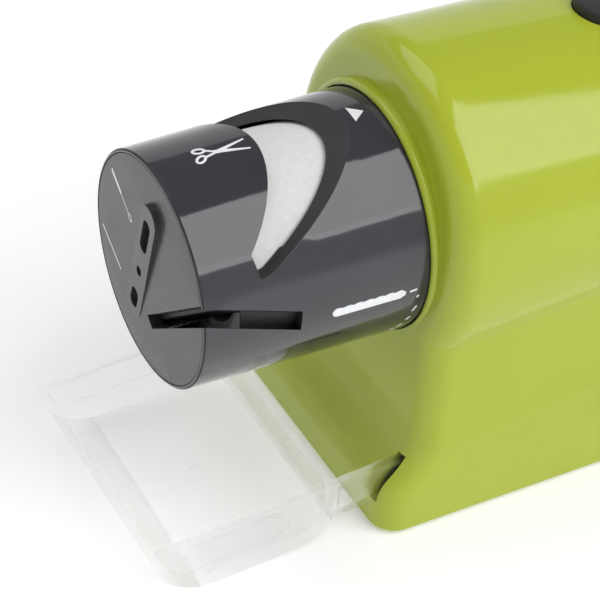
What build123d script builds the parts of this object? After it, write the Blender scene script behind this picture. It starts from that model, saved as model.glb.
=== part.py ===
from build123d import *
import os
from math import hypot, radians, tan

# A cordless motorised sharpener for knives, scissors and screwdrivers.
# X is the width, Y runs from the sharpening head (front, negative) to the back, Z is up.
# While the pieces are made, y = 0 is the rear edge of the head's full diameter and z = 0 is the
# table. They are written with the origin under the middle of the whole object.

# Body
base_width = 66.0
waist_width = 61.2          # across the crease between base and upper body
crown_height = 101.8        # highest point of the arch, behind the front edge
crown_fall = 0.06           # slope of the crown towards the back
body_back = 118.0
shell_wall = 2.0
underside = 1.2             # shell's lower face above the table
parting = 0.05              # x where the two shells meet
base_front = -10.0
face_foot = -1.5            # front face just above the flare
face_lean = 3.1             # degrees
front_round = 6.0
back_round = 12.0
style_angle = 4.65          # degrees, rise of the creases and of the tray towards the back
low_crease = 22.8
high_crease = 49.0
step_height = 2.4           # of the two narrow ledges that frame the recessed side
low_step = 0.8              # how far the base stands out past the side
high_step = 1.1             # how far the arch stands out past the side
arch_bulge = 11.2           # how far the arch's handles stand out past the waist
arch_shoulder = 27.5

# Head and collar
axis_height = 64.0
head_length = 50.3
head_front_r = 25.0
head_back_r = 26.05
head_wall = 1.9             # at the front
collar_front = -0.4
collar_r = 27.6
collar_depth = 2.0
skirt = 1.2                 # length of the head inside the collar's mouth
neck_r = 24.0
neck_wall = 2.0
neck_end = 11.5
race_front = 6.2
race_back = 10.6
key_height = 1.7
key_width = 7.0
key_front = 6.6
key_length = 2.6
twist_range = 35.0          # degrees
plate_r = 24.2
plate_thickness = 2.8

# Scissor notch and knife slot
notch_front = -53.2         # y of the front wall's 45 degree plane at the axis
notch_slope = 1.79          # run of the ramp for each mm of rise
slot_depth = 21.3
slot_fall = 0.376           # drop of the knife slot for each mm towards the back
slot_bevel = 0.6            # how much wider the plate opens above the slot

# Stone, carrier and motor
stone_r = 22.3
stone_front = -39.0
stone_back = -9.0
carrier_r = 16.0
shaft_r = 1.15
motor_r = 13.9
motor_front = 15.0
motor_length = 38.0

# Cells
cell_r = 7.2
cell_length = 50.2
cell_pitch = 14.7
cell_count = 4
cells_front = 38.0
contact_gap = 3.2

# Tray
tray_width = 57.3
tray_wall = 1.7
tray_front = -62.9
tray_top = 13.6             # top of the front edge above the table
tray_length = 43.0
tray_depth = 14.7
arm_height = 9.6
tray_in = 8.0
tray_out = 24.0
arm_end = tray_out - 2.0    # the arms still reach into the front wall when the tray is out

# Button
button_y = 62.0
button_length = 30.0
button_width = 13.0
button_proud = 2.6
button_travel = 1.8

# Fits
gap = 0.3                   # between pieces that pass each other
fit = 0.05                  # radial running fit
screw_r = 1.5

rise = tan(radians(style_angle))
parts = {}


def group(shapes):
    return Compound([solid for shape in shapes for solid in shape.solids()])


def keep(name, shape):
    parts[name] = shape


def rod(radius, start, end, x=0.0, z=axis_height):
    """Cylinder along Y from one y to another."""
    return Pos(x, (start + end) / 2, z) * Rot(90, 0, 0) * Cylinder(radius, end - start)


def ring(outer, inner, start, end, x=0.0, z=axis_height):
    return rod(outer, start, end, x, z) - rod(inner, start - 1, end + 1, x, z)


def block(low, high):
    """Box between two corners."""
    size = [b - a for a, b in zip(low, high)]
    middle = [(a + b) / 2 for a, b in zip(low, high)]
    return Pos(*middle) * Box(*size)


def post(radius, x, y, low, high):
    return Pos(x, y, (low + high) / 2) * Cylinder(radius, high - low)


def rims(shape, radius):
    """Circular edges at least this large."""
    return [edge for edge in shape.edges().filter_by(GeomType.CIRCLE) if edge.radius > radius - 0.1]


def crown_at(y):
    return crown_height - crown_fall * (y - 11)


# ---------------------------------------------------------------- body shells
def cross_section(y, inset):
    """Closed outline across the body at one station, drawn inset from the outer face."""
    half = base_width / 2 - inset
    waist = waist_width / 2 - inset
    low = low_crease + rise * y
    high = high_crease + rise * y
    crown = crown_at(y) - inset
    base = underside + inset
    ledge = half - low_step
    side = [
        Edge.make_line((half, y, base), (half, y, low)),
        Edge.make_line((half, y, low), (ledge, y, low + step_height)),
        Edge.make_line((ledge, y, low + step_height), (waist, y, high - step_height)),
        Edge.make_line((waist, y, high - step_height), (waist + high_step, y, high)),
        Edge.make_bezier((waist + high_step, y, high), (waist + arch_bulge, y, high + 22),
                         (arch_shoulder - inset, y, crown), (0, y, crown)),
    ]
    floor = Edge.make_line((-half, y, base), (half, y, base))
    return Face(Wire(side + [edge.mirror(Plane.YZ) for edge in side] + [floor]))


def face_y(z):
    """Y of the leaning front face at a height."""
    return face_foot + (z - 27) * tan(radians(face_lean))


def side_profile(inset):
    """Front and back faces, drawn as a solid that trims the lofted body."""
    high = crown_height + 30
    low = underside - 5
    front = [(base_front + inset, low), (base_front + inset, 7.5)]
    flare = [
        Line(*front),
        ThreePointArc(front[1], (-9.3 + inset, 11.2), (-7.6 + inset, 13.8)),
        ThreePointArc((-7.6 + inset, 13.8), (-3.4 + inset, 19.4), (face_y(27) + inset, 27)),
        Line((face_y(27) + inset, 27), (face_y(high) + inset, high)),
        Line((face_y(high) + inset, high), (body_back - inset, high)),
        Line((body_back - inset, high), (body_back - inset, low)),
        Line((body_back - inset, low), front[0]),
    ]
    return extrude(Plane.YZ * make_face(flare), base_width, both=True)


def body_form(inset):
    """The body's outer form, or its hollow when drawn inset by the wall."""
    trimmed = loft([cross_section(body_back + 5, inset), cross_section(-20, inset)], ruled=True)
    trimmed = trimmed & side_profile(inset)
    floor = underside + inset + 0.01

    def is_front(edge):
        points = [edge @ 0, edge @ 0.5, edge @ 1]
        across = abs((edge @ 1).X - (edge @ 0).X) > base_width / 2 and abs((edge @ 0.5).X) < 1
        return (not across and max(p.Z for p in points) > floor
                and all(p.Y < face_y(p.Z) + inset + 0.01 for p in points))

    def is_back(edge):
        points = [edge @ 0, edge @ 0.5, edge @ 1]
        return (max(p.Z for p in points) > floor
                and all(p.Y > body_back - inset - 0.01 for p in points))

    solid = trimmed.solids()[0]
    solid = solid.fillet(front_round - inset / 2, [e for e in solid.edges() if is_front(e)])
    return solid.fillet(back_round - inset, [e for e in solid.edges() if is_back(e)])


def tray_z(y):
    """Top edge of the tray and of its arms."""
    return tray_top + rise * (y - tray_front)


def arm_channel(clearance, start, end, thick):
    """Bar along the tray's arm on the +X side, grown by a clearance."""
    outer = tray_width / 2 + clearance
    low = -arm_height - clearance
    corners = [(start, tray_z(start) + clearance), (end, tray_z(end) + clearance),
               (end, tray_z(end) + low), (start, tray_z(start) + low)]
    bar = extrude(Plane.YZ * make_face(Polyline(*corners, close=True)), thick + 2 * clearance)
    return Pos(outer - thick - 2 * clearance, 0, 0) * bar


def both_sides(shape):
    return shape + mirror(shape, about=Plane.YZ)


def foot_strip(y, low):
    near, far = y - foot_width / 2, y + foot_width / 2
    strip = block((-foot_half, near, low), (foot_half, far, underside + foot_seat))
    return strip.fillet(3.0, strip.edges().filter_by(Axis.Z))


foot_places = (7.0, 104.0)
foot_half = 21.0
foot_width = 8.0
foot_seat = 0.8
boss_places = [(24.0, 87.0), (66.0, 80.0), (104.0, 84.0), (104.0, 24.0), (26.0, 31.5)]
boss_r = 3.6
button_seat = crown_at(button_y) - 8.2
bracket_front = motor_front - 1.5
cells_back = cells_front + cell_length + contact_gap
cell_height = underside + shell_wall + cell_r + 1.4
holder_low = underside + shell_wall
holder_top = cell_height + cell_r + 1.6
holder_inner = cell_pitch * cell_count / 2 + 0.2
holder_outer = base_width / 2 - shell_wall - 0.2
holder_wall = 1.4
door_front = cells_front - contact_gap + 0.4
door_back = cells_back - 0.4
door_half = holder_inner - 0.4
door_thickness = 1.8
pin_r = 0.6
door_pivot = (door_front + door_thickness / 2, underside + door_thickness / 2)
flange_low = button_seat + 2.1
flange_top = flange_low + 1.6
flange_lip = 3.0
switch_top = flange_low - button_travel - 2.8
shelf_top = button_seat - 6.5


def housing():
    outer = body_form(0)
    hollow = body_form(shell_wall)
    collar = ring(collar_r, neck_r, collar_front, race_back + shell_wall)
    collar = collar.fillet(0.9, [e for e in rims(collar, collar_r) if e.center().Y < collar_front + 0.1])
    # The collar is fused to the front wall, with the bayonet race inside it
    shell = outer - hollow + collar
    shell = shell - rod(neck_r + key_height + 2 * gap, race_front, race_back)
    shell = shell - rod(head_back_r + gap, base_front, collar_front + collar_depth)
    shell = shell - rod(neck_r + gap, collar_front, 13)
    for angle in (0, 180):
        notch = block((-key_width / 2 - gap, collar_front + collar_depth - 1, neck_r - 1),
                      (key_width / 2 + gap, race_front + 0.3, neck_r + key_height + 2 * gap))
        turned = Rot(0, angle + 90 + twist_range, 0) * notch
        shell = shell - Pos(0, 0, axis_height) * turned
    # Guides for the tray's arms
    sleeve = arm_channel(1.6, face_y(20) + 1.5, arm_end + tray_in + 2, tray_wall)
    shell = shell + both_sides(sleeve & body_form(shell_wall - 0.2))
    shell = shell - both_sides(arm_channel(gap, -15, arm_end + tray_in + 1, tray_wall))
    # Slots that hold the motor bracket's edges
    for low_z in (axis_height - 24, axis_height + 14):
        rails = block((-40, bracket_front - 2, low_z), (40, bracket_front + 3.5, low_z + 10))
        rails = rails & hollow
        rails = rails - block((-27, 0, 0), (27, 60, 120))
        shell = shell + rails
    bracket_slot = block((-29.5, bracket_front, axis_height - 24), (29.5, motor_front, axis_height + 24))
    shell = shell - (bracket_slot & body_form(shell_wall + 0.2))
    # Screw bosses
    for y, z in boss_places:
        boss = Pos(0, y, z) * Rot(0, 90, 0) * Cylinder(boss_r, base_width + 10)
        shell = shell + (boss & hollow)
    # Battery opening, button opening and switch shelf
    shell = shell - block((-door_half - gap, door_front - gap, 0), (door_half + gap, door_back + gap, 12))
    pin_hole = Pos(0, *door_pivot) * Rot(0, 90, 0) * Cylinder(pin_r + fit, 2 * door_half + 3)
    shell = shell - pin_hole
    for y in foot_places:
        shell = shell - foot_strip(y, underside - 1)
    slot = SlotOverall(button_length + 2 * gap, button_width + 2 * gap)
    opening = extrude(Pos(0, button_y, 85) * Rot(0, 0, 90) * slot, 30)
    shell = shell - opening
    shelf = block((-30, button_y - 12, shelf_top - 2), (30, button_y + 12, shelf_top)) & hollow
    shell = shell + shelf
    return shell


def screw_hole(y, z):
    axis = Pos(0, y, z) * Rot(0, 90, 0)
    shank = Pos(-8, 0, 0) * axis * Cylinder(screw_r, 32)
    head = Pos(-24, y, z) * Rot(0, 90, 0) * Cylinder(3.0, 40)
    return shank + (head & block((-60, 0, 0), (-19, 130, 120)))


whole = housing()
for y, z in boss_places:
    whole = whole - screw_hole(y, z)
for x_low, x_high, name in ((-60, parting, "left_housing"), (parting, 60, "right_housing")):
    half = whole & block((x_low, -20, 0), (x_high, 130, 130))
    keep(name, max(half.solids(), key=lambda solid: solid.volume))


# ---------------------------------------------------------------- sharpening head
plate_back = -head_length + plate_thickness


def turned(points):
    """Solid of revolution about the head's axis from (y, radius) points."""
    face = Plane.YZ * make_face(Polyline(*points, close=True))
    return Pos(0, 0, axis_height) * revolve(face, Axis((0, 0, 0), (0, 1, 0)))


def head_r(y):
    return head_back_r + (head_back_r - head_front_r) / head_length * y


def scissor_notch():
    """Slanting V across the head: steep overhanging wall in front, long ramp behind."""
    def ramp_y(z):
        return -11.0 + notch_slope * (z - 24.6)
    corners = [(notch_front + 34, 34), (notch_front + 14.8, 14.8), (-37.4, 10.2), (-35.6, 10.5),
               (ramp_y(34), 34)]
    face = Plane.YZ * make_face(Polyline(*corners, close=True))
    return Pos(0, 0, axis_height) * extrude(face, 40, both=True)


def knife_slot(above=0.0, below=0.0):
    """Wedge that opens towards the right, falling towards the back, grown by two walls."""
    corners = [(0.3 - above, -12.6 + above), (32, 14.9 + above * 1.4), (32, 9.6 - below * 1.3),
               (2.0 - below / 2, -13.9 - below)]
    face = Plane.XZ * make_face(Polyline(*corners, close=True))
    face = Pos(0, -head_length - 4, axis_height + 4 * slot_fall) * face
    reach = slot_depth + 4
    return extrude(face, reach * hypot(1, slot_fall), dir=(0, 1, -slot_fall))


def head_cover():
    back = collar_front + skirt
    inner = head_front_r - head_wall
    neck_inner = neck_r - neck_wall
    shell = turned([(-head_length, head_front_r - 0.35), (-head_length + 0.35, head_r(-head_length + 0.35)),
                    (back, head_r(back)), (back, neck_r), (neck_end, neck_r), (neck_end, neck_inner),
                    (back - 1.5, neck_inner), (back - 3.5, inner), (plate_back, inner),
                    (plate_back, plate_r + 0.1),
                    (-head_length, plate_r + 0.1)])
    for side in (-1, 1):
        key = block((-key_width / 2, key_front, neck_r - 1),
                    (key_width / 2, key_front + key_length, neck_r + key_height))
        shell = shell + Pos(0, 0, axis_height) * Rot(0, 90 * side, 0) * key
    return shell - scissor_notch() - knife_slot()


guide_screw_places = ((-14.0, 9.0), (-14.0, -12.0), (13.5, -12.5))
guide_screw_r = 1.2
guide_screw_head = 2.4
guide_floor = 3.0
guide_r = head_front_r - head_wall - 0.1
guide_back = stone_front - 1.5
slot_wall = 1.6
socket_wall = 1.2
liner_wall = 0.4
rest_pin_r = 1.2
rest_pin_place = (2.6, axis_height - 14.5)
boss_low = Vector(-6.8, 0, -13.5)
boss_high = Vector(1.5, 0, 13.9)
boss_width = 6.6
boss_rise = 1.3
face_slots = ((8.8, 9.5, 3.0), (-3.0, 2.6, 2.0), (-12.3, 5.6, 3.0))


def face_boss_plane(y):
    along = (boss_high - boss_low).normalized()
    middle = (boss_high + boss_low) * 0.5
    return Plane(origin=(middle.X, y, middle.Z + axis_height), x_dir=along, z_dir=(0, -1, 0))


def front_plate():
    face = -head_length
    plate = rod(plate_r, face, plate_back)
    plate = plate.fillet(0.3, [e for e in rims(plate, plate_r) if e.center().Y < face + 0.01])
    length = (boss_high - boss_low).length + boss_width
    plane = face_boss_plane(face + 0.5)
    prism = extrude(plane * SlotOverall(length, boss_width), boss_rise + 2)
    wedge = [(-length / 2, -1), (length / 2, -1), (length / 2, boss_rise + 0.5), (-length / 2, 0.5)]
    corners = [plane.from_local_coords((s, 0, h)) for s, h in wedge]
    wedge = extrude(Face(Wire.make_polygon(corners)), boss_width, both=True)
    plate = plate + (prism & wedge)
    for place, long_side, width in face_slots:
        shape = SlotOverall(long_side, width) if long_side > width + 0.5 else Circle(width / 2)
        plate = plate - extrude(plane * Pos(place, 0) * shape, 12, both=True)
    for x, z in guide_screw_places:
        plate = plate - rod(guide_screw_r, face + 1.2, plate_back + 1, x, axis_height + z)
    return plate - knife_slot(above=slot_bevel)


def blade_guide():
    guide = rod(guide_r, plate_back, plate_back + guide_floor)
    guide = guide + ring(guide_r, guide_r - 2, plate_back, guide_back)
    guide = guide + (knife_slot(slot_wall, slot_wall) & rod(guide_r, plate_back, guide_back))
    plane = face_boss_plane(plate_back)
    for place, long_side, width in face_slots:
        pocket = SlotOverall(max(long_side, width + 0.6), width)
        socket = offset(pocket, socket_wall)
        guide = guide + extrude(plane * Pos(place, 0) * socket, plate_back - guide_back)
        guide = guide - extrude(plane * Pos(place, 0) * pocket, 20, both=True)
    for x, z in guide_screw_places:
        hole = rod(guide_screw_r, plate_back - 1, guide_back + 1, x, axis_height + z)
        recess = rod(guide_screw_head + gap, plate_back + guide_floor, guide_back + 1, x, axis_height + z)
        guide = guide - hole - recess
    guide = guide - knife_slot()
    # A thin liner closes the bottom of the slot over the stone
    liner = ring(guide_r, guide_r - liner_wall, guide_back - 1, slot_depth - head_length + 1)
    guide = guide + (liner & block((15, guide_back - 1, axis_height - 14), (30, 0, axis_height + 13)))
    return guide - scissor_notch() - rod(rest_pin_r, plate_back, guide_back, *rest_pin_place)


def screw_along_y(head_y, length, head, shank, x, z, direction):
    """Pan-head screw whose shank runs from the head's seat in the given direction along Y."""
    ends = sorted((head_y, head_y - direction * 1.6))
    tip = sorted((head_y, head_y + direction * length))
    drive = block((x - 0.35, ends[0] if direction > 0 else ends[1] - 0.6, z - head * 0.7),
                  (x + 0.35, ends[0] + 0.6 if direction > 0 else ends[1], z + head * 0.7))
    return rod(head, *ends, x, z) + rod(shank, *tip, x, z) - drive


keep("head_cover", head_cover())
keep("front_plate", front_plate())
keep("blade_guide", blade_guide())
keep("rest_pin", rod(rest_pin_r, plate_back, guide_back, *rest_pin_place))
keep("guide_screws", group([
    screw_along_y(plate_back + guide_floor, 4.3, guide_screw_head, guide_screw_r, x, axis_height + z, -1)
    for x, z in guide_screw_places]))

# ---------------------------------------------------------------- stone and its carrier
stone = ring(stone_r, carrier_r, stone_front, stone_back)
stone = chamfer(rims(stone, stone_r), 0.7)
keep("grinding_wheel", stone)
web_front = stone_back - 4
boss_front = web_front - 5
carrier = ring(carrier_r, carrier_r - 1.8, stone_front + 1, stone_back - 1)
carrier = carrier + rod(carrier_r, web_front, stone_back - 1) + rod(4.5, boss_front, stone_back + 1)
carrier = carrier - rod(shaft_r, boss_front - 1, stone_back + 2)
for turn in range(6):
    hole = Rot(0, 60 * turn, 0) * Pos(9.5, 0, 0) * Rot(90, 0, 0) * Cylinder(2.6, 60)
    carrier = carrier - Pos(0, 0, axis_height) * hole
keep("wheel_carrier", carrier)
keep("carrier_washer", ring(3.5, shaft_r, boss_front - 0.8, boss_front))
nut_seat = Plane(origin=(0, boss_front - 0.8, axis_height), z_dir=(0, -1, 0))
nut = extrude(nut_seat * RegularPolygon(2.9, 6), 2.2)
keep("carrier_nut", nut - rod(shaft_r, boss_front - 5, boss_front))

# ---------------------------------------------------------------- motor
motor_back = motor_front + motor_length
can_end = motor_back - 3.0
can_wall = 1.2
bush_r = 3.0
can = ring(motor_r, motor_r - can_wall, motor_front, can_end) + rod(motor_r, motor_front, motor_front + 1.5)
can = can.fillet(1.0, [e for e in rims(can, motor_r) if e.center().Y < motor_front + 0.01])
screw_places = (-8.0, 8.0)
for x in screw_places:
    can = can - rod(screw_r, motor_front - 1, motor_front + 2, x)
keep("motor_can", can - rod(bush_r, motor_front - 1, motor_front + 2))
magnets = ring(motor_r - can_wall, 10.6, motor_front + 4, can_end - 4)
keep("motor_magnets", magnets - block((-40, 0, axis_height - 4), (40, 80, axis_height + 4)))
cap = rod(motor_r - can_wall, can_end - 2, can_end) + rod(motor_r, can_end, can_end + 1.5)
cap = cap + rod(5.0, can_end, motor_back)
keep("motor_end_cap", cap - rod(bush_r, can_end - 3, motor_back - 0.8))
bushes = [ring(bush_r, shaft_r + fit, bracket_front - 1, motor_front + 1.5),
          ring(bush_r, shaft_r + fit, can_end - 2, motor_back - 0.8)]
keep("motor_bushes", group(bushes))
rotor = rod(9.9, motor_front + 6, can_end - 8)
for turn in range(5):
    slot = block((-1.0, 0, 7.2), (1.0, 60, 12))
    rotor = rotor - Pos(0, 0, axis_height) * Rot(0, 72 * turn, 0) * slot
rotor = rotor + rod(3.4, can_end - 8, can_end - 3)
keep("rotor", rotor + rod(shaft_r, boss_front - 3.6, motor_back - 1.2))
bracket = block((-29.2, bracket_front, axis_height - 23.5), (29.2, motor_front, axis_height + 23.5))
bracket = bracket & body_form(shell_wall + 0.2)
for x in screw_places:
    bracket = bracket - rod(screw_r, bracket_front - 1, motor_front + 1, x)
keep("motor_bracket", bracket - rod(bush_r, bracket_front - 1, motor_front + 1))
keep("motor_screws", group([
    screw_along_y(bracket_front, 3.0, 2.6, screw_r, x, axis_height, 1) for x in screw_places]))

# ---------------------------------------------------------------- housing screws and feet
screws = []
for y, z in boss_places:
    axis = Pos(0, y, z) * Rot(0, 90, 0)
    shank = Pos(-5.5, 0, 0) * axis * Cylinder(screw_r, 27)
    top = Pos(-20.1, 0, 0) * axis * Cylinder(2.8, 2.2)
    drive = Pos(-21.2, y, z)
    cross = drive * Box(1.6, 3.4, 0.7) + drive * Box(1.6, 0.7, 3.4)
    screws.append(shank + top - cross)
keep("housing_screws", group(screws))
keep("rubber_feet", group([foot_strip(y, 0) for y in foot_places]))

# ---------------------------------------------------------------- cells, holder and door
holder_front = cells_front - contact_gap
holder = block((-holder_outer, holder_front - holder_wall, holder_low),
               (holder_outer, cells_back + holder_wall, holder_top))
holder = holder - block((-holder_inner, holder_front, holder_low - 1),
                        (holder_inner, cells_back, holder_top - 1.2))
for step in range(1, cell_count):
    x = (step - cell_count / 2) * cell_pitch
    rib = block((x - 0.5, holder_front, cell_height + 4.5), (x + 0.5, cells_back, holder_top))
    for middle in (x - cell_pitch / 2, x + cell_pitch / 2):
        rib = rib - rod(cell_r + 0.1, holder_front - 1, cells_back + 1, middle, cell_height)
    holder = holder + rib
keep("battery_holder", holder)
springs, plates = [], []
for index in range(cell_count):
    x = (index - (cell_count - 1) / 2) * cell_pitch
    nub_front = index % 2 == 0
    low = cells_front + (1.0 if nub_front else 0.0)
    cell = rod(cell_r, low, low + cell_length - 1.0, x, cell_height)
    cell = cell.fillet(0.6, rims(cell, cell_r))
    if nub_front:
        nub = rod(2.7, cells_front, cells_front + 2, x, cell_height)
    else:
        nub = rod(2.7, cells_front + cell_length - 2, cells_front + cell_length, x, cell_height)
    keep(f"battery_{index + 1}", cell + nub)
    for at_front in (True, False):
        outer = holder_front if at_front else cells_back
        inner = outer + (0.4 if at_front else -0.4)
        plates.append(block((x - 5, min(outer, inner), cell_height - 4.5),
                            (x + 5, max(outer, inner), cell_height + 4.5)))
        touch = cells_front if at_front else cells_front + cell_length
        if at_front == nub_front:
            plates.append(rod(2.0, min(inner, touch), max(inner, touch), x, cell_height))
        else:
            turns = [ring(r + 0.5, r - 0.5, min(a, b), max(a, b), x, cell_height)
                     for r, a, b in ((4.2, inner, inner + (touch - inner) / 3),
                                     (3.4, inner + (touch - inner) / 3, inner + 2 * (touch - inner) / 3),
                                     (2.6, inner + 2 * (touch - inner) / 3, touch))]
            springs.append(turns[0] + turns[1] + turns[2])
keep("battery_springs", group(springs))
keep("battery_contacts", group(plates))
door = block((-door_half, door_pivot[0], underside), (door_half, door_back, underside + door_thickness))
edge = Pos(0, *door_pivot) * Rot(0, 90, 0)
door = door + edge * Cylinder(door_thickness / 2, 2 * door_half) + edge * Cylinder(pin_r, 2 * door_half + 2)
for row in range(4):
    groove_y = door_back - 8 + 1.6 * row
    door = door - block((-9, groove_y, underside - 1), (9, groove_y + 0.7, underside + 0.5))
keep("battery_door", door)

# ---------------------------------------------------------------- power button and switch
upright = Rot(0, 0, 90)
button_plan = upright * SlotOverall(button_length, button_width)
button_face = extrude(Pos(0, button_y, flange_top - 0.5) * button_plan, 20)
slope = block((-20, button_y - 30, 0), (20, button_y + 30, crown_at(button_y) + button_proud))
tilt = Pos(0, button_y, crown_at(button_y)) * Rot(-3.43, 0, 0) * Pos(0, -button_y, -crown_at(button_y))
button = button_face & (tilt * slope)
top_edges = [e for e in button.edges() if e.center().Z > crown_at(button_y) and e.length > 3]
button = button.fillet(1.2, top_edges)
flange_plan = upright * SlotOverall(button_length + flange_lip, button_width + flange_lip)
flange = extrude(Pos(0, button_y, flange_low) * flange_plan, flange_top - flange_low)
keep("power_button", button + flange)
keep("switch_plunger", post(2.0, 0, button_y, switch_top - 0.6, flange_low))
switch = block((-6, button_y - 6, shelf_top), (6, button_y + 6, switch_top))
keep("switch_body", switch - post(2.3, 0, button_y, switch_top - 2.6, switch_top + 1))
coil_r = 3.5
coil_wire = 0.4
coil = Helix(pitch=1.3, height=flange_low - switch_top - 2 * coil_wire, radius=coil_r)
coil = Pos(0, button_y, switch_top + coil_wire) * coil
spring = sweep(Plane(origin=coil @ 0, z_dir=coil % 0) * Circle(coil_wire), path=coil, is_frenet=True)
keep("button_spring", spring)

# ---------------------------------------------------------------- tray
tray_frame = Pos(0, tray_front, tray_top) * Rot(style_angle, 0, 0)


def tray_outline(inset):
    """Side outline in the tray's own tilt, u towards the back and v up."""
    low = -tray_depth + inset
    return make_face([
        Line((inset, 1), (inset, 0)),
        ThreePointArc((inset, 0), (4.6 + inset * 0.75, -10.6 + inset * 0.7), (13, low)),
        Line((13, low), (tray_length - 8.5, low)),
        ThreePointArc((tray_length - 8.5, low), (tray_length - 2.6 - inset * 0.7, low + 2.6),
                      (tray_length - inset, low + 8.0)),
        Line((tray_length - inset, low + 8.0), (tray_length - inset, 1)),
        Line((tray_length - inset, 1), (inset, 1)),
    ])


def tray():
    half = tray_width / 2
    outer = extrude(Plane.YZ * tray_outline(0), half, both=True)
    inner = extrude(Plane.YZ * tray_outline(tray_wall), half - tray_wall, both=True)
    top = block((-half - 1, -1, 0), (half + 1, tray_length + 1, 3))
    pan = (outer - inner) - top
    rib = Plane.YZ * Pos(19.5, -5.2) * (SlotOverall(25, 7.6) - SlotOverall(23.2, 5.8))
    pan = pan + both_sides(Pos(half - 0.05, 0, 0) * extrude(rib, 0.35))
    dimple = Pos(0, 24, -tray_depth + tray_wall) * Cylinder(2.2, 0.5)
    pan = tray_frame * (pan + dimple)
    start = tray_front + 18.6
    arm = arm_channel(0, start, arm_end, tray_wall)
    web = arm_channel(-1.5, tray_front + tray_length + 1, arm_end, tray_wall + 3)
    web = Pos(1.0 + tray_wall, 0, 0) * web
    arm = arm - web
    return pan + both_sides(arm)


keep("tray", tray())

# ---------------------------------------------------------------- wires
wire_r = 0.7


def wire(points, bend):
    path = FilletPolyline(*points, radius=bend)
    return sweep(Plane(origin=path @ 0, z_dir=path % 0) * Circle(wire_r), path=path)


start_y = holder_front - holder_wall
rise_y = start_y - 2.5
switch_front = button_y - 6
cap_back = can_end + 1.5
lead_z = switch_top - 2
keep("red_wire", wire([(20, start_y, 12), (20, rise_y, 12), (20, rise_y, 45), (20, 44, 70),
                       (3, 48, lead_z), (3, switch_front, lead_z)], 2.2))
keep("black_wire", wire([(12, start_y, 12), (12, rise_y, 12), (12, rise_y, 38), (14, 56, 48),
                         (9, 58, axis_height), (9, cap_back, axis_height)], 2.2))
keep("motor_lead", wire([(-3, switch_front, lead_z), (-3, 48, lead_z), (-17, 46, 76), (-17, 57, 66),
                         (-9, 58, axis_height), (-9, cap_back, axis_height)], 2.2))

os.makedirs("parts", exist_ok=True)
middle_y = (tray_front + body_back) / 2
for name, shape in parts.items():
    solids = [Pos(0, -middle_y, 0) * solid for solid in shape.solids()]
    export_step(solids[0] if len(solids) == 1 else Compound(solids), f"parts/{name}.step")
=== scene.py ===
from math import cos, pi, radians, sin

import bmesh
import bpy
from mathutils import Matrix, Vector


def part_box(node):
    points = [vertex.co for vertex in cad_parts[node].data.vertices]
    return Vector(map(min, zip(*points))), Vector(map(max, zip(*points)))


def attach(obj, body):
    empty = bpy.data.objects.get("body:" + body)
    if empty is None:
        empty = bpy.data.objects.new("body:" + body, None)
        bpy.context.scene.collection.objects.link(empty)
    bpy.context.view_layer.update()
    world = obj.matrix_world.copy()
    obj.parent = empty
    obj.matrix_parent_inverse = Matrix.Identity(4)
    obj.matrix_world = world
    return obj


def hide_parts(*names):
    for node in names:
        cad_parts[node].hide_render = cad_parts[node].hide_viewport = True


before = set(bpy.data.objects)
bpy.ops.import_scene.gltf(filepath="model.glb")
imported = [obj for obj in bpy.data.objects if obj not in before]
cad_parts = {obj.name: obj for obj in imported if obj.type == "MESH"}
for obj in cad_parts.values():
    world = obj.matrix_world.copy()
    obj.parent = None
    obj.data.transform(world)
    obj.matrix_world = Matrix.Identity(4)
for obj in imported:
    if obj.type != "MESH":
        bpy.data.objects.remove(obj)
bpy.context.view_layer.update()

# ------------------------------------------------------------------------------------------
# Body shells. Two halves of glossy lime-green ABS, injection moulded and screwed together.
# Their corners are rounded by the mould, and a fine line shows where the halves meet.


def moulded_copy(node, body, round_over, segments=2):
    """Copy of a CAD piece, with its sharp edges rounded over."""
    sharp = radians(25)
    weld = 2e-6
    shape = bmesh.new()
    shape.from_mesh(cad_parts[node].data)
    bmesh.ops.remove_doubles(shape, verts=shape.verts, dist=weld)
    for face in shape.faces:
        face.smooth = True
    for edge in shape.edges:
        edge.smooth = len(edge.link_faces) == 2 and edge.calc_face_angle() < sharp
    piece = add_piece(f"{node}_shape", shape)
    edges = piece.modifiers.new("rounded edges", "BEVEL")
    edges.width = round_over
    edges.segments = segments
    edges.limit_method = "ANGLE"
    edges.angle_limit = sharp
    edges.use_clamp_overlap = True
    edges.harden_normals = True
    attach(piece, body)
    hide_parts(node)
    return piece


def add_piece(name, shape):
    """Turns a finished bmesh into an object in the scene."""
    data = bpy.data.meshes.new(name)
    shape.to_mesh(data)
    shape.free()
    piece = bpy.data.objects.new(name, data)
    bpy.context.scene.collection.objects.link(piece)
    return piece


def new_finish(name):
    """New material, its node tree and its shader."""
    finish = bpy.data.materials.new(name)
    finish.use_nodes = True
    tree = finish.node_tree
    return finish, tree, tree.nodes["Principled BSDF"]


def grain(tree, scale, detail=3.0, stretch=(1, 1, 1)):
    """Cloudy pattern fixed to the piece; scale counts its cells in one metre."""
    place = tree.nodes.new("ShaderNodeTexCoord")
    mapping = tree.nodes.new("ShaderNodeMapping")
    mapping.inputs["Scale"].default_value = stretch
    noise = tree.nodes.new("ShaderNodeTexNoise")
    noise.inputs["Scale"].default_value = scale
    noise.inputs["Detail"].default_value = detail
    tree.links.new(place.outputs["Object"], mapping.inputs["Vector"])
    tree.links.new(mapping.outputs["Vector"], noise.inputs["Vector"])
    return noise.outputs["Fac"]


noise_low, noise_high = 0.3, 0.7


def spread(tree, pattern, low, high):
    """Turns a pattern into values from low to high."""
    span = tree.nodes.new("ShaderNodeMapRange")
    span.inputs["From Min"].default_value = noise_low
    span.inputs["From Max"].default_value = noise_high
    span.inputs["To Min"].default_value = low
    span.inputs["To Max"].default_value = high
    tree.links.new(pattern, span.inputs["Value"])
    return span.outputs["Result"]


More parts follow.
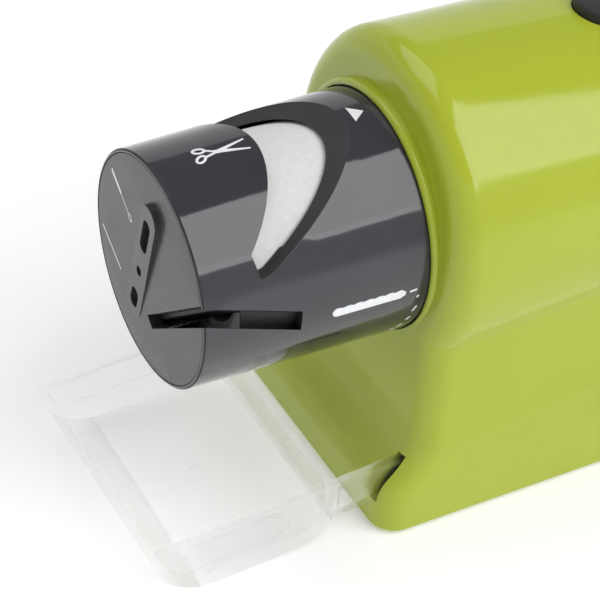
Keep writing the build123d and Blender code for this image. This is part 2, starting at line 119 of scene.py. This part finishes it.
def tint(tree, shader, pattern, first, second):
    """Base colour that drifts between two tones."""
    ramp = tree.nodes.new("ShaderNodeValToRGB")
    ramp.color_ramp.elements[0].position = noise_low
    ramp.color_ramp.elements[0].color = (*first, 1)
    ramp.color_ramp.elements[1].position = noise_high
    ramp.color_ramp.elements[1].color = (*second, 1)
    tree.links.new(pattern, ramp.inputs["Fac"])
    tree.links.new(ramp.outputs["Color"], shader.inputs["Base Color"])


def relief(tree, shader, pattern, height):
    """Surface texture of a real height in metres."""
    bump = tree.nodes.new("ShaderNodeBump")
    bump.inputs["Strength"].default_value = 1.0
    bump.inputs["Distance"].default_value = height
    tree.links.new(pattern, bump.inputs["Height"])
    tree.links.new(bump.outputs["Normal"], shader.inputs["Normal"])


def plastic(name, first, second, gloss, texture, height, coat=0.0):
    """Moulded plastic: two tones, a range of gloss, and a texture of a scale and height."""
    finish, tree, shader = new_finish(name)
    clouds, wear = 35, 90
    tint(tree, shader, grain(tree, clouds), first, second)
    tree.links.new(spread(tree, grain(tree, wear, 6.0), *gloss), shader.inputs["Roughness"])
    relief(tree, shader, grain(tree, texture, 2.0), height)
    shader.inputs["IOR"].default_value = 1.5
    shader.inputs["Coat Weight"].default_value = coat
    shader.inputs["Coat Roughness"].default_value = 0.06
    return finish


green = plastic("lime_gloss", (0.365, 0.432, 0.026), (0.385, 0.450, 0.030), (0.10, 0.16), 900, 1.0e-5)
for side in ("left_housing", "right_housing"):
    shell = moulded_copy(side, "housing", 0.00022)
    shell.data.materials.append(green)

# ------------------------------------------------------------------------------------------
# Head cover. A slightly tapered shell of glossy charcoal plastic over the stone. The scissor
# notch and the knife slot are cut into it, and their faces have the mould's matte grain.

charcoal = plastic("charcoal_gloss", (0.028, 0.027, 0.034), (0.033, 0.032, 0.040), (0.06, 0.11),
                   700, 0.8e-5, 0.3)
matte_black = plastic("black_matte", (0.014, 0.014, 0.016), (0.019, 0.019, 0.021), (0.5, 0.62), 3200, 3e-5)
head_low, head_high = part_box("head_cover")
axis_z = (head_low.z + head_high.z) / 2
head_back_r = 0.02605
head_front_r = 0.025
head_length = 0.0503
mouth_y = head_low.y + head_length


def head_radius(y):
    """Radius of the cone at a place along the axis."""
    return head_back_r + (head_back_r - head_front_r) / head_length * (y - mouth_y)


head = moulded_copy("head_cover", "head", 0.00025)
head.data.materials.append(charcoal)
head.data.materials.append(matte_black)
skin = 0.00008
for face in head.data.polygons:
    points = [head.data.vertices[i].co for i in face.vertices]
    deepest = min(Vector((p.x, p.z - axis_z)).length - head_radius(p.y) for p in points)
    front = face.center.y < head_low.y + skin
    if deepest < -skin and not front:
        face.material_index = 1

# ------------------------------------------------------------------------------------------
# Front plate. A separate satin disc in the mouth of the cover, with the raised boss that
# holds the screwdriver holes. The knife slot runs on through it.

satin = plastic("charcoal_satin", (0.045, 0.045, 0.048), (0.052, 0.052, 0.055), (0.24, 0.34), 1500, 1.5e-5)
plate = moulded_copy("front_plate", "head", 0.0002)
plate.data.materials.append(satin)

# ------------------------------------------------------------------------------------------
# Blade guide, rest pin and guide screws. A black nylon block behind the plate carries the blade on a
# steel pin; three screws hold it. Its black liner behind the knife slot is painted shade, a dark
# sheet that hides the stone where the slot falls into shade.

steel, tree, shader = new_finish("ground_steel")
shader.inputs["Metallic"].default_value = 1.0
tint(tree, shader, grain(tree, 120, 4.0), (0.50, 0.50, 0.51), (0.62, 0.62, 0.64))
tree.links.new(spread(tree, grain(tree, 600, 4.0, (1, 12, 1)), 0.16, 0.34), shader.inputs["Roughness"])
relief(tree, shader, grain(tree, 2500, 2.0, (1, 8, 1)), 0.6e-5)
# Painted shade: the guide's black liner closes off the white stone deep in the knife slot.
guide_and_shade_liner = moulded_copy("blade_guide", "head", 0.00015)
guide_and_shade_liner.data.materials.append(matte_black)
pin = moulded_copy("rest_pin", "head", 0.0001)
pin.data.materials.append(steel)

# ------------------------------------------------------------------------------------------
# Grinding stone on its carrier. White fused alumina, pressed and fired, so it is chalky with
# fine open grain; the nylon carrier holds it on the motor shaft with a nut and a washer.

stone_finish, tree, shader = new_finish("white_alumina")
tint(tree, shader, grain(tree, 900, 8.0), (0.66, 0.655, 0.65), (0.72, 0.715, 0.71))
shader.inputs["Roughness"].default_value = 0.85
shader.inputs["Subsurface Weight"].default_value = 0.15
shader.inputs["Subsurface Radius"].default_value = (0.001, 0.001, 0.001)
shader.inputs["Subsurface Scale"].default_value = 1.0
relief(tree, shader, grain(tree, 3400, 3.0), 4e-5)
wheel = moulded_copy("grinding_wheel", "spindle", 0.0003)
wheel.data.materials.append(stone_finish)
nylon = plastic("grey_nylon", (0.36, 0.37, 0.39), (0.42, 0.43, 0.45), (0.35, 0.5), 1800, 2e-5)
carrier = moulded_copy("wheel_carrier", "spindle", 0.0002)
carrier.data.materials.append(nylon)

# ------------------------------------------------------------------------------------------
# Dust tray. One piece of clear polished styrene: a shallow pan with two long flanged arms
# that slide in the body. Its edges catch the light, and fine dust dulls it a little.

clear, tree, shader = new_finish("clear_styrene")
shader.inputs["Base Color"].default_value = (0.99, 0.975, 0.975, 1)
shader.inputs["Transmission Weight"].default_value = 0.95
shader.inputs["IOR"].default_value = 1.3
shader.inputs["Alpha"].default_value = 0.32
tree.links.new(spread(tree, grain(tree, 160, 6.0), 0.02, 0.08), shader.inputs["Roughness"])
relief(tree, shader, grain(tree, 260, 3.0), 3e-5)
tray = moulded_copy("tray", "tray", 0.0004, segments=3)
tray.data.materials.append(clear)

# ------------------------------------------------------------------------------------------
# Printed marks. White ink, a few hundredths of a millimetre thick: a scissors symbol, an
# arrow at the twist line, a serrated blade with its handle in dashes, and two guide lines.

ink, tree, shader = new_finish("white_ink")
tint(tree, shader, grain(tree, 900, 4.0), (0.74, 0.75, 0.78), (0.84, 0.85, 0.88))
tree.links.new(spread(tree, grain(tree, 1500, 2.0), 0.35, 0.5), shader.inputs["Roughness"])
relief(tree, shader, grain(tree, 5000, 2.0), 1.5e-5)
ink_height = 0.00005
millimetre = 0.001


def printed_strips(name, strips, place):
    """Ink strips on a surface. Each has a path(t), a half_width(t), both in millimetres, and a
    count of steps; place(along, across, height) puts a point on the surface."""
    shape = bmesh.new()
    for path, half_width, steps in strips:
        made = bmesh.ops.create_grid(shape, x_segments=steps, y_segments=2, size=1)["verts"]
        for vert in made:
            t, side = (vert.co.x + 1) / 2, vert.co.y
            here = Vector(path(t))
            ahead = Vector(path(min(t + 0.01, 1.0))) - Vector(path(max(t - 0.01, 0.0)))
            normal = Vector((-ahead.y, ahead.x)).normalized()
            flat = here + normal * half_width(t) * side
            vert.co = (flat.x, flat.y, 0)
    bmesh.ops.remove_doubles(shape, verts=shape.verts, dist=1e-4)
    bmesh.ops.recalc_face_normals(shape, faces=shape.faces)
    bottom = shape.faces[:]
    raised = bmesh.ops.extrude_face_region(shape, geom=bottom, use_keep_orig=True)
    for vert in raised["geom"]:
        if isinstance(vert, bmesh.types.BMVert):
            vert.co.z = 1
    for vert in shape.verts:
        vert.co = place(vert.co.x, vert.co.y, ink_height if vert.co.z > 0.5 else -ink_height)
    bmesh.ops.recalc_face_normals(shape, faces=shape.faces)
    piece = add_piece(name, shape)
    piece.data.materials.append(ink)
    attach(piece, "head")


def on_cone(along, across, height):
    """Along the axis from the head's rear edge, and round it from the top towards +X."""
    y = mouth_y + along * millimetre
    angle = across * millimetre / head_back_r
    reach = head_radius(y) + height
    return Vector((reach * sin(angle), y, axis_z + reach * cos(angle)))


def on_face(across, up, height):
    """Across and up from the middle of the front plate."""
    return Vector((across * millimetre, head_low.y - height, axis_z + up * millimetre))


def line(start, end):
    return lambda t: (start[0] + (end[0] - start[0]) * t, start[1] + (end[1] - start[1]) * t)


def loop(middle, long_r, short_r, lean):
    """Closed oval, turned by an angle in degrees."""
    def path(t):
        u, v = long_r * cos(2 * pi * t), short_r * sin(2 * pi * t)
        return (middle[0] + u * cos(radians(lean)) - v * sin(radians(lean)),
                middle[1] + u * sin(radians(lean)) + v * cos(radians(lean)))
    return path


def even(width):
    return lambda t: width


def arc_mm(degrees):
    """Length round the head of an angle, in millimetres."""
    return radians(degrees) * head_back_r / millimetre


def blade_taper(t):
    return 0.52 - 0.34 * t


scissors = [
    (loop((-39.4, arc_mm(-3.0)), 1.2, 0.75, 12), even(0.28), 24),
    (loop((-40.0, arc_mm(2.9)), 1.2, 0.75, -38), even(0.28), 24),
    (line((-38.8, arc_mm(2.3)), (-36.0, arc_mm(0.7))), even(0.28), 4),
    (line((-36.4, arc_mm(0.9)), (-29.5, arc_mm(-2.9))), blade_taper, 8),
    (line((-38.3, arc_mm(-2.4)), (-36.3, arc_mm(0.5))), even(0.28), 4),
    (line((-36.6, arc_mm(0.3)), (-29.5, arc_mm(4.4))), blade_taper, 8),
]
printed_strips("scissors_mark", scissors, on_cone)
arrow = [(line((-6.4, arc_mm(1.5)), (-3.5, arc_mm(1.7))), lambda t: 2.4 * (1 - t) + 0.02, 8)]
printed_strips("arrow_mark", arrow, on_cone)
blade_level = arc_mm(94.4)
teeth = 7
blade_start, blade_end = -22.1, -5.6


def tooth(t):
    """How far the scalloped edge stands out, in millimetres."""
    return 0.36 * abs(sin(pi * teeth * t))


def blade_path(t):
    return (blade_start + (blade_end - blade_start) * t, blade_level - tooth(t) / 2)


def blade_half_width(t):
    """Even along the blade, rounded off towards both ends."""
    return (0.93 + tooth(t) / 2) * min(1, 14 * t + 0.5, 9 * (1 - t) + 0.45)


serrated = [(blade_path, blade_half_width, 70)]
dash_ends = [((-4.6, 94.0), (-3.0, 93.6)), ((-2.5, 97.6), (-2.6, 99.0)), ((-2.1, 105.4), (-2.8, 109.1)),
             ((-2.6, 114.1), (-3.1, 116.9)), ((-3.2, 121.3), (-4.2, 123.8)), ((-4.5, 125.7), (-5.0, 127.6))]
for first, last in dash_ends:
    dash = line((first[0], arc_mm(first[1])), (last[0], arc_mm(last[1])))
    serrated.append((dash, even(0.24), 3))
printed_strips("serrated_knife_mark", serrated, on_cone)
guide_lines = [
    (line((-17.6, 13.3), (-13.2, 10.1)), even(0.42), 6),
    (line((-13.2, 10.1), (-9.6, 7.5)), even(0.14), 4),
    (loop((-8.9, 7.0), 0.9, 0.55, -36), even(0.14), 16),
    (line((-21.9, -3.8), (-13.0, -9.3)), even(0.22), 6),
]
printed_strips("guide_line_marks", guide_lines, on_face)

# ------------------------------------------------------------------------------------------
# Motor, switch, cells and wiring. They are bought-in pieces inside the shells, seen only
# where the door or the head is open, and they keep the shapes that hold them in place.

zinc, tree, shader = new_finish("zinc_plate")
shader.inputs["Metallic"].default_value = 1.0
tint(tree, shader, grain(tree, 220, 6.0), (0.50, 0.51, 0.52), (0.66, 0.67, 0.68))
tree.links.new(spread(tree, grain(tree, 400, 6.0), 0.25, 0.45), shader.inputs["Roughness"])
relief(tree, shader, grain(tree, 3000, 2.0), 1e-5)
laminate, tree, shader = new_finish("stacked_laminations")
shader.inputs["Metallic"].default_value = 1.0
tint(tree, shader, grain(tree, 900, 2.0, (0.05, 6, 0.05)), (0.25, 0.25, 0.26), (0.45, 0.45, 0.46))
shader.inputs["Roughness"].default_value = 0.45
relief(tree, shader, grain(tree, 900, 2.0, (0.05, 6, 0.05)), 6e-5)
brass, tree, shader = new_finish("turned_brass")
shader.inputs["Metallic"].default_value = 1.0
tint(tree, shader, grain(tree, 500, 4.0), (0.62, 0.46, 0.20), (0.75, 0.58, 0.28))
tree.links.new(spread(tree, grain(tree, 900, 3.0, (1, 10, 1)), 0.2, 0.4), shader.inputs["Roughness"])
ferrite = plastic("ferrite", (0.030, 0.030, 0.032), (0.055, 0.055, 0.058), (0.5, 0.7), 2500, 4e-5)
red_sleeve = plastic("red_insulation", (0.50, 0.020, 0.015), (0.58, 0.030, 0.022), (0.3, 0.45), 2000, 2e-5)
black_sleeve = plastic("black_insulation", (0.012, 0.012, 0.013), (0.020, 0.020, 0.021), (0.3, 0.45),
                       2000, 2e-5)
kept = {
    zinc: ("housing_screws", "guide_screws", "motor_can", "motor_bracket", "motor_screws"),
    steel: ("carrier_washer", "battery_springs", "battery_contacts", "button_spring"),
    brass: ("carrier_nut", "motor_bushes"),
    laminate: ("rotor",),
    ferrite: ("motor_magnets",),
    matte_black: ("motor_end_cap", "switch_plunger", "switch_body", "battery_holder"),
    red_sleeve: ("red_wire", "motor_lead"),
    black_sleeve: ("black_wire",),
}
for finish, nodes in kept.items():
    for node in nodes:
        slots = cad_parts[node].data.materials
        slots.clear()
        slots.append(finish)

# ------------------------------------------------------------------------------------------
# Four cells. Each has a printed film sleeve, dark with a copper band at its button end, and
# bare steel at both ends.

for index in range(4):
    node = f"battery_{index + 1}"
    low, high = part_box(node)
    forward = index % 2 == 0
    nose = low.y if forward else high.y
    finish, tree, shader = new_finish(f"cell_sleeve_{index + 1}")
    place = tree.nodes.new("ShaderNodeTexCoord")
    part = tree.nodes.new("ShaderNodeSeparateXYZ")
    from_nose = tree.nodes.new("ShaderNodeMath")
    from_nose.operation = "SUBTRACT"
    from_nose.inputs[1].default_value = nose
    away = tree.nodes.new("ShaderNodeMath")
    away.operation = "ABSOLUTE"
    bands = tree.nodes.new("ShaderNodeValToRGB")
    bands.color_ramp.interpolation = "CONSTANT"
    span = tree.nodes.new("ShaderNodeMath")
    span.operation = "DIVIDE"
    span.inputs[1].default_value = high.y - low.y
    elements = bands.color_ramp.elements
    elements[0].color = (0.60, 0.60, 0.62, 1)
    elements[1].position = 0.035
    elements[1].color = (0.55, 0.26, 0.10, 1)
    for position, colour in ((0.30, (0.020, 0.022, 0.026, 1)), (0.975, (0.60, 0.60, 0.62, 1))):
        elements.new(position).color = colour
    tree.links.new(place.outputs["Object"], part.inputs["Vector"])
    tree.links.new(part.outputs["Y"], from_nose.inputs[0])
    tree.links.new(from_nose.outputs["Value"], away.inputs[0])
    tree.links.new(away.outputs["Value"], span.inputs[0])
    tree.links.new(span.outputs["Value"], bands.inputs["Fac"])
    tree.links.new(bands.outputs["Color"], shader.inputs["Base Color"])
    shader.inputs["Metallic"].default_value = 0.6
    tree.links.new(spread(tree, grain(tree, 300, 5.0), 0.22, 0.36), shader.inputs["Roughness"])
    cell = moulded_copy(node, "housing", 0.0002)
    cell.data.materials.append(finish)

# ------------------------------------------------------------------------------------------
# Battery door, power button and feet. The door matches the shell, the button is soft black
# plastic under the thumb, and the feet are moulded rubber strips.

door = moulded_copy("battery_door", "door", 0.00022)
door.data.materials.append(green)
button = moulded_copy("power_button", "button", 0.0003)
button.data.materials.append(matte_black)
rubber = plastic("foot_rubber", (0.020, 0.020, 0.020), (0.032, 0.032, 0.031), (0.6, 0.8), 1600, 8e-5)
feet = moulded_copy("rubber_feet", "housing", 0.0003)
feet.data.materials.append(rubber)

# ------------------------------------------------------------------------------------------
# The table: a large sheet of near-white paper board with a faint tooth, curved up at its
# far edges like a studio sweep, so that the ground and the background are one.

flat_r = 0.6
bend_r = 0.9
bend_steps = 12
turn_step = radians(90) / bend_steps
floor_shape = bmesh.new()
bmesh.ops.create_circle(floor_shape, cap_ends=False, segments=64, radius=flat_r)
rim = floor_shape.edges[:]
bmesh.ops.contextual_create(floor_shape, geom=rim)
for step in range(bend_steps):
    angle = turn_step * step
    outward = (flat_r + bend_r * sin(angle + turn_step)) / (flat_r + bend_r * sin(angle))
    lift = bend_r * (cos(angle) - cos(angle + turn_step))
    made = bmesh.ops.extrude_edge_only(floor_shape, edges=rim)["geom"]
    rim = [item for item in made if isinstance(item, bmesh.types.BMEdge)]
    ring = [item for item in made if isinstance(item, bmesh.types.BMVert)]
    bmesh.ops.scale(floor_shape, vec=(outward, outward, 1), verts=ring)
    bmesh.ops.translate(floor_shape, vec=(0, 0, lift), verts=ring)
for face in floor_shape.faces:
    face.smooth = True
floor = add_piece("table_top", floor_shape)
paper, tree, shader = new_finish("white_board")
tint(tree, shader, grain(tree, 20, 3.0), (0.90, 0.90, 0.905), (0.93, 0.93, 0.935))
shader.inputs["Roughness"].default_value = 0.7
shader.inputs["Emission Color"].default_value = (1.0, 1.0, 1.0, 1)
shader.inputs["Emission Strength"].default_value = 0.25
floor.data.materials.append(paper)

# ------------------------------------------------------------------------------------------
# Lights: a tall soft panel on the right, a soft overhead fill, and a pale surround.

scene = bpy.context.scene
world = bpy.data.worlds.new("studio")
scene.world = world
world.use_nodes = True
world.node_tree.nodes["Background"].inputs["Color"].default_value = (0.97, 0.98, 1.0, 1)
world.node_tree.nodes["Background"].inputs["Strength"].default_value = 0.27
aim = Vector((0, -0.03, 0.05))


def soft_panel(name, place, width, height, power):
    """Square-edged soft light that faces the object."""
    lamp = bpy.data.lights.new(name, "AREA")
    lamp.shape = "RECTANGLE"
    lamp.size = width
    lamp.size_y = height
    lamp.energy = power
    lamp_object = bpy.data.objects.new(name, lamp)
    lamp_object.location = place
    lamp_object.rotation_mode = "QUATERNION"
    lamp_object.rotation_quaternion = (Vector(place) - aim).to_track_quat("Z", "Y")
    lamp_object.visible_camera = False
    scene.collection.objects.link(lamp_object)


soft_panel("side_panel", (0.40, 0.21, 0.60), 0.60, 0.64, 3.8)
soft_panel("top_panel", (-0.35, -0.20, 0.80), 0.60, 0.60, 1.8)

# ------------------------------------------------------------------------------------------
# Camera, above and to the right of the head.

camera = bpy.data.cameras.new("view")
camera.sensor_width = 36
camera.lens = 146.6
camera.clip_start = 0.01
camera.clip_end = 20
viewer = bpy.data.objects.new("view", camera)
right = Vector((0.4715, 0.8802, 0.0527))
back = Vector((0.6627, -0.3931, 0.6374))
up = back.cross(right)
turn = Matrix((right, up, back)).transposed().to_4x4()
viewer.matrix_world = Matrix.Translation((0.3416, -0.24495, 0.3725)) @ turn
scene.collection.objects.link(viewer)
scene.camera = viewer
scene.view_settings.view_transform = "Standard"
